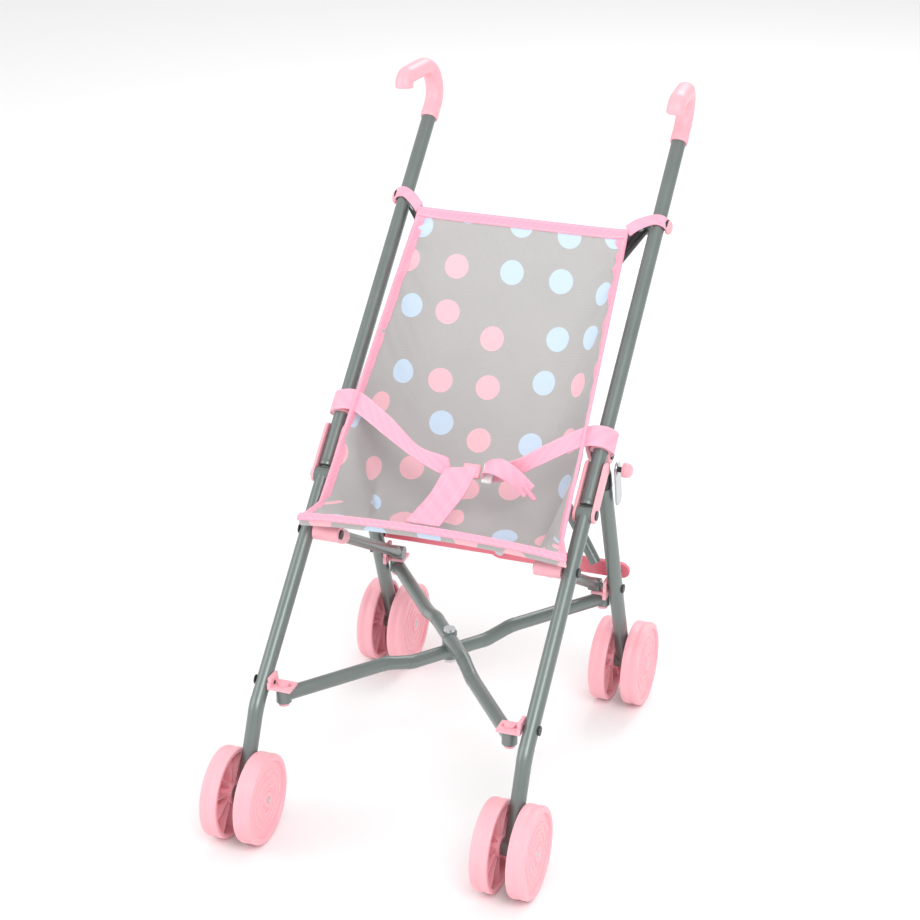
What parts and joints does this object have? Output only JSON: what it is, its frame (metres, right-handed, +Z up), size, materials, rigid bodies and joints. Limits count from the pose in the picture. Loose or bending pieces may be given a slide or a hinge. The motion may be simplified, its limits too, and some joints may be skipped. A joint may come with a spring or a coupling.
{
  "type": "doll stroller",
  "caption": "Folding umbrella-style doll stroller: tube frame with hooked grips, cross braces, twin wheels on each leg and a dotted sling seat with harness.",
  "frame": {"origin": "on the floor in the middle plane, 10 mm behind the middle of the stroller's length", "axes": "+Z up, front faces -Y, +X to the right"},
  "size_m": [0.2778, 0.5, 0.5479],
  "materials": {
    "tube": "satin",
    "pink_plastic": "semi gloss",
    "deep_pink_plastic": "semi gloss",
    "zinc": "bright",
    "dark_screw": "dark",
    "wheel_plastic": "satin",
    "cloth": "woven",
    "webbing": "woven"
  },
  "bodies": {
    "cross_bolt": {"cross_bolt": "zinc"},
    "lower_arm_a": {"lower_arm_a": "tube"},
    "lower_arm_b": {"lower_arm_b": "tube"},
    "right_front_bracket": {"right_front_bracket": "pink_plastic"},
    "right_rear_bracket": {"right_rear_bracket": "pink_plastic"},
    "right_front_leg": {"right_front_leg": "tube", "right_front_screws": "dark_screw"},
    "right_handle": {"right_handle_tube": "tube", "right_grip": "pink_plastic", "right_clamp": "pink_plastic", "right_knuckle": "pink_plastic", "right_handle_fasteners": "dark_screw", "seat_back": "cloth", "seat_base": "cloth", "right_seat_side": "cloth", "left_seat_side": "cloth", "right_corner_strap": "webbing", "left_corner_strap": "webbing", "right_waist_strap": "webbing", "left_waist_strap": "webbing", "crotch_strap": "webbing", "buckle": "pink_plastic"},
    "right_rail": {"right_seat_rail": "tube", "right_rail_fitting": "pink_plastic"},
    "right_rear_leg": {"right_rear_leg": "tube", "right_rear_screws": "dark_screw"},
    "upper_arm_a": {"upper_arm_a": "tube"},
    "right_crossbar": {"right_crossbar": "deep_pink_plastic", "crossbar_rivet": "zinc"},
    "right_latch": {"right_latch_plate": "zinc", "right_latch_knob": "pink_plastic"},
    "right_front_wheels": {"right_front_axle": "zinc", "right_front_outer_wheel": "wheel_plastic", "right_front_inner_wheel": "wheel_plastic"},
    "right_rear_wheels": {"right_rear_axle": "zinc", "right_rear_outer_wheel": "wheel_plastic", "right_rear_inner_wheel": "wheel_plastic"},
    "left_front_bracket": {"left_front_bracket": "pink_plastic"},
    "left_rear_bracket": {"left_rear_bracket": "pink_plastic"},
    "left_front_leg": {"left_front_leg": "tube", "left_front_screws": "dark_screw"},
    "left_handle": {"left_handle_tube": "tube", "left_grip": "pink_plastic", "left_clamp": "pink_plastic", "left_knuckle": "pink_plastic", "left_handle_fasteners": "dark_screw"},
    "left_rail": {"left_seat_rail": "tube", "left_rail_fitting": "pink_plastic"},
    "left_rear_leg": {"left_rear_leg": "tube", "left_rear_screws": "dark_screw"},
    "upper_arm_b": {"upper_arm_b": "tube"},
    "left_crossbar": {"left_crossbar": "deep_pink_plastic"},
    "left_latch": {"left_latch_plate": "zinc", "left_latch_knob": "pink_plastic"},
    "left_front_wheels": {"left_front_axle": "zinc", "left_front_outer_wheel": "wheel_plastic", "left_front_inner_wheel": "wheel_plastic"},
    "left_rear_wheels": {"left_rear_axle": "zinc", "left_rear_outer_wheel": "wheel_plastic", "left_rear_inner_wheel": "wheel_plastic"}
  },
  "joints": [
    {"name": "fold", "type": "hinge", "parent": "cross_bolt", "child": "lower_arm_a", "pos_m": [0, -0.05225, 0.111], "axis": [0, 0, -1], "range_deg": [0, 25.22], "deforming": ["seat_back", "seat_base", "right_seat_side", "left_seat_side", "right_corner_strap", "left_corner_strap", "right_waist_strap", "left_waist_strap", "crotch_strap", "buckle"]},
    {"name": "arm_b_turn", "type": "hinge", "parent": "cross_bolt", "child": "lower_arm_b", "pos_m": [0, -0.05225, 0.111], "axis": [0, 0, 1], "range_deg": [0, 25.24]},
    {"name": "right_front_bracket_turn", "type": "hinge", "parent": "lower_arm_a", "child": "right_front_bracket", "pos_m": [0.098, -0.18, 0.111], "axis": [0, 0, 1], "range_deg": [0, 25.24]},
    {"name": "right_rear_bracket_turn", "type": "hinge", "parent": "lower_arm_b", "child": "right_rear_bracket", "pos_m": [0.098, 0.0755, 0.111], "axis": [0, 0, -1], "range_deg": [0, 25.24]},
    {"name": "right_front_leg_tilt", "type": "hinge", "parent": "right_front_bracket", "child": "right_front_leg", "pos_m": [0.116, -0.1793, 0.12029], "axis": [1, 0, 0], "range_deg": [-35.53, 0]},
    {"name": "right_handle_hinge", "type": "hinge", "parent": "right_front_leg", "child": "right_handle", "pos_m": [0.116, -0.0455, 0.2495], "axis": [1, 0, 0], "range_deg": [0, 115.02]},
    {"name": "right_rail_hinge", "type": "hinge", "parent": "right_front_leg", "child": "right_rail", "pos_m": [0.093, -0.08219, 0.21407], "axis": [1, 0, 0], "range_deg": [0, 61.45]},
    {"name": "right_rear_leg_hinge", "type": "hinge", "parent": "right_handle", "child": "right_rear_leg", "pos_m": [0.112, 0.0102, 0.2803], "axis": [-1, 0, 0], "range_deg": [0, 39.51]},
    {"name": "upper_arm_a_swing", "type": "hinge", "parent": "right_handle", "child": "upper_arm_a", "pos_m": [0.10245, 0.15292, 0.43191], "axis": [-0.4139, -0.7514, 0.5139], "range_deg": [0, 25.38]},
    {"name": "right_crossbar_fold", "type": "hinge", "parent": "right_rear_leg", "child": "right_crossbar", "pos_m": [0.112, 0.07748, 0.13912], "axis": [0, -0.9373, -0.3486], "range_deg": [0, 63.55]},
    {"name": "right_latch_release", "type": "hinge", "parent": "right_rear_leg", "child": "right_latch", "pos_m": [0.112, 0.0273, 0.2343], "axis": [-1, 0, 0], "range_deg": [0, 35]},
    {"name": "right_front_wheels_spin", "type": "hinge", "parent": "right_front_leg", "child": "right_front_wheels", "pos_m": [0.116, -0.22637, 0.038], "axis": [1, 0, 0], "continuous": true},
    {"name": "right_rear_wheels_spin", "type": "hinge", "parent": "right_rear_leg", "child": "right_rear_wheels", "pos_m": [0.112, 0.10031, 0.038], "axis": [1, 0, 0], "continuous": true},
    {"name": "left_front_bracket_turn", "type": "hinge", "parent": "lower_arm_b", "child": "left_front_bracket", "pos_m": [-0.098, -0.18, 0.111], "axis": [0, 0, -1], "range_deg": [0, 25.24]},
    {"name": "left_rear_bracket_turn", "type": "hinge", "parent": "lower_arm_a", "child": "left_rear_bracket", "pos_m": [-0.098, 0.0755, 0.111], "axis": [0, 0, 1], "range_deg": [0, 25.24]},
    {"name": "left_front_leg_tilt", "type": "hinge", "parent": "left_front_bracket", "child": "left_front_leg", "pos_m": [-0.116, -0.1793, 0.12029], "axis": [1, 0, 0], "range_deg": [-35.53, 0]},
    {"name": "left_handle_hinge", "type": "hinge", "parent": "left_front_leg", "child": "left_handle", "pos_m": [-0.116, -0.0455, 0.2495], "axis": [1, 0, 0], "range_deg": [0, 115.02]},
    {"name": "left_rail_hinge", "type": "hinge", "parent": "left_front_leg", "child": "left_rail", "pos_m": [-0.093, -0.08219, 0.21407], "axis": [1, 0, 0], "range_deg": [0, 61.45]},
    {"name": "left_rear_leg_hinge", "type": "hinge", "parent": "left_handle", "child": "left_rear_leg", "pos_m": [-0.112, 0.0102, 0.2803], "axis": [-1, 0, 0], "range_deg": [0, 39.51]},
    {"name": "upper_arm_b_swing", "type": "hinge", "parent": "left_handle", "child": "upper_arm_b", "pos_m": [-0.10245, 0.14052, 0.43191], "axis": [-0.4139, 0.7514, -0.5139], "range_deg": [0, 25.38]},
    {"name": "left_crossbar_fold", "type": "hinge", "parent": "left_rear_leg", "child": "left_crossbar", "pos_m": [-0.112, 0.07748, 0.13912], "axis": [0, 0.9373, 0.3486], "range_deg": [0, 63.55]},
    {"name": "left_latch_release", "type": "hinge", "parent": "left_rear_leg", "child": "left_latch", "pos_m": [-0.112, 0.0273, 0.2343], "axis": [-1, 0, 0], "range_deg": [0, 35]},
    {"name": "left_front_wheels_spin", "type": "hinge", "parent": "left_front_leg", "child": "left_front_wheels", "pos_m": [-0.116, -0.22637, 0.038], "axis": [1, 0, 0], "continuous": true},
    {"name": "left_rear_wheels_spin", "type": "hinge", "parent": "left_rear_leg", "child": "left_rear_wheels", "pos_m": [-0.112, 0.10031, 0.038], "axis": [1, 0, 0], "continuous": true}
  ],
  "couplings": [
    {"joint": "arm_b_turn", "follows": "fold", "ratio": 1},
    {"joint": "right_front_bracket_turn", "follows": "fold", "ratio": 1},
    {"joint": "right_rear_bracket_turn", "follows": "fold", "ratio": 1},
    {"joint": "right_front_leg_tilt", "follows": "fold", "ratio": -1.408},
    {"joint": "right_handle_hinge", "follows": "fold", "ratio": 4.5593},
    {"joint": "right_rail_hinge", "follows": "fold", "ratio": 2.4354},
    {"joint": "right_rear_leg_hinge", "follows": "fold", "ratio": 1.5655},
    {"joint": "upper_arm_a_swing", "follows": "fold", "ratio": 1.0053},
    {"joint": "right_crossbar_fold", "follows": "fold", "ratio": 2.5188},
    {"joint": "left_front_bracket_turn", "follows": "fold", "ratio": 1},
    {"joint": "left_rear_bracket_turn", "follows": "fold", "ratio": 1},
    {"joint": "left_front_leg_tilt", "follows": "fold", "ratio": -1.408},
    {"joint": "left_handle_hinge", "follows": "fold", "ratio": 4.5593},
    {"joint": "left_rail_hinge", "follows": "fold", "ratio": 2.4354},
    {"joint": "left_rear_leg_hinge", "follows": "fold", "ratio": 1.5655},
    {"joint": "upper_arm_b_swing", "follows": "fold", "ratio": 1.0053},
    {"joint": "left_crossbar_fold", "follows": "fold", "ratio": 2.5188}
  ]
}
